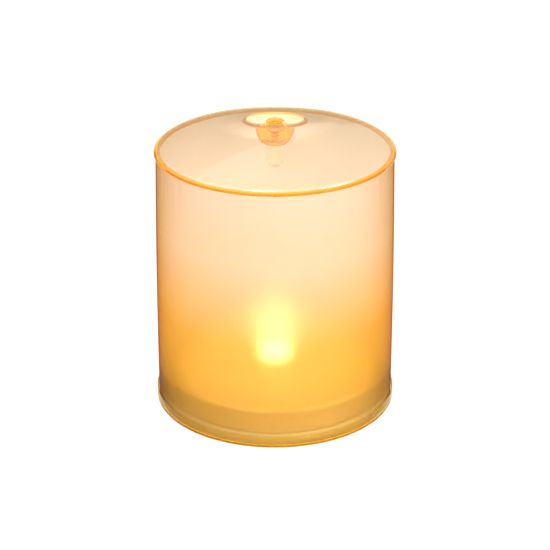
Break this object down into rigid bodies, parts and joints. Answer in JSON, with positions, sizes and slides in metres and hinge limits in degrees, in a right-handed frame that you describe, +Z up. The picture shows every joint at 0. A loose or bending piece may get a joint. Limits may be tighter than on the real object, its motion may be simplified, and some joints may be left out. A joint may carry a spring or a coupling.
{
  "type": "inflatable camping lantern",
  "caption": "Inflatable, collapsible solar camping lantern: frosted film drum with a clear top and push-in air valve, over a thin round light module with a solar panel underneath.",
  "frame": {"origin": "on the table, at the centre of the drum's footprint", "axes": "+Z up along the drum's axis; front towards -Y; the air valve lies towards +Y"},
  "size_m": [0.09, 0.09, 0.1029],
  "materials": {
    "frosted_film": "frosted translucent soft film",
    "clear_film": "clear glossy soft film",
    "seam_orange": "translucent welded seam",
    "valve_vinyl": "translucent soft moulding",
    "module_white": "moulded, fine texture",
    "gasket_foam": "foam",
    "adhesive": "double-sided sheet",
    "screw_steel": "plated",
    "panel_sheet": "clear laminate",
    "busbar": "tinned",
    "cell_blue": "dark cell",
    "panel_board": "laminate board",
    "lead_red": "insulated wire",
    "lead_black": "insulated wire",
    "pouch_foil": "laminated foil pouch",
    "connector": "moulded",
    "board_green": "circuit board",
    "chip_black": "moulded case",
    "chip_tan": "ceramic part",
    "led_phosphor": "lit phosphor",
    "dome_diffuser": "frosted diffuser",
    "button_grey": "soft",
    "ribbon": "flexible strip"
  },
  "bodies": {
    "base": {"wall_film": "frosted_film", "bottom_film": "clear_film", "bottom_seam_lip": "seam_orange", "module_cover": "module_white", "module_tray": "module_white", "cover_gasket": "gasket_foam", "adhesive_ring": "adhesive", "cover_screws": "screw_steel", "solar_cover_sheet": "panel_sheet", "solar_busbars": "busbar", "solar_cells": "cell_blue", "solar_backboard": "panel_board", "solar_lead_red": "lead_red", "solar_lead_black": "lead_black", "battery_cell": "pouch_foil", "battery_pad": "gasket_foam", "battery_lead_red": "lead_red", "battery_lead_black": "lead_black", "battery_plug": "connector", "battery_socket": "connector", "main_board": "board_green", "controller_chip": "chip_black", "power_inductor": "chip_black", "small_parts": "chip_tan", "board_screws": "screw_steel", "led_package": "led_phosphor", "led_reflector": "module_white", "light_dome": "dome_diffuser", "switch_body": "chip_black", "switch_board": "board_green", "switch_board_screws": "screw_steel", "switch_ribbon": "ribbon", "charge_led": "led_phosphor", "charge_window": "panel_sheet"},
    "top": {"top_film": "clear_film", "top_seam_lip": "seam_orange", "valve_flange": "valve_vinyl", "valve_skirt": "valve_vinyl"},
    "stem": {"valve_stem": "valve_vinyl", "valve_tether": "valve_vinyl"},
    "plug": {"valve_plug": "valve_vinyl"},
    "flap": {"valve_flap": "valve_vinyl"},
    "button": {"power_button": "button_grey", "switch_plunger": "connector"}
  },
  "joints": [
    {"name": "collapse", "type": "slide", "parent": "base", "child": "top", "axis": [0, 0, -1], "range_m": [0, 0.064], "deforming": ["wall_film"]},
    {"name": "valve_pop", "type": "slide", "parent": "top", "child": "stem", "axis": [0, 0.0641, 0.9979], "range_m": [0, 0.018], "deforming": ["valve_skirt"]},
    {"name": "plug_pull", "type": "slide", "parent": "stem", "child": "plug", "axis": [0, 0.0641, 0.9979], "range_m": [0, 0.009], "deforming": ["valve_tether"]},
    {"name": "flap_swing", "type": "hinge", "parent": "stem", "child": "flap", "pos_m": [0, 0.02592, 0.08449], "axis": [1, 0, 0], "range_deg": [0, 50], "stiffness_Nm_per_rad": 0.00001},
    {"name": "button_press", "type": "slide", "parent": "base", "child": "button", "axis": [0, 0, 1], "range_m": [0, 0.0005], "stiffness_N_per_m": 400}
  ]
}
